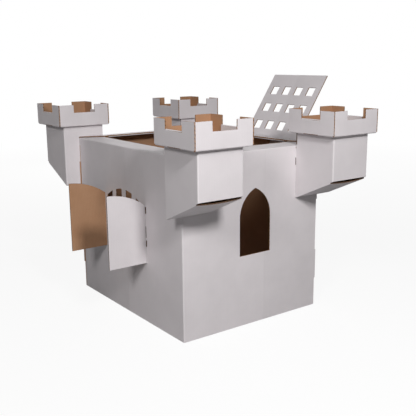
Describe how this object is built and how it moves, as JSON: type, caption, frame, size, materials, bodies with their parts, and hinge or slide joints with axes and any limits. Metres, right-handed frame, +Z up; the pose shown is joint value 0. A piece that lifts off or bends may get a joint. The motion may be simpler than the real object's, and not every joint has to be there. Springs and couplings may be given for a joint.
{
  "type": "cardboard play castle",
  "caption": "Open-topped play castle folded from corrugated board, with an arched barred gate, pointed window, leaning lattice and crenellated corner turrets that overhang the walls.",
  "frame": {"origin": "centre of the castle's footprint on the floor", "axes": "+Z up, -Y the window wall's outward side, -X the gate wall's outward side"},
  "size_m": [1.2062, 1.5122, 1.1449],
  "materials": {
    "board": "matte"
  },
  "bodies": {
    "root": {"front_wall_sheet": "board", "back_wall_sheet": "board", "lattice_panel": "board", "door_leaf_left": "board", "door_leaf_right": "board", "turret_body_front": "board", "turret_body_right": "board", "turret_body_back": "board", "turret_body_left": "board", "turret_crown_front": "board", "turret_crown_right": "board", "turret_crown_back": "board", "turret_crown_left": "board"}
  },
  "joints": []
}
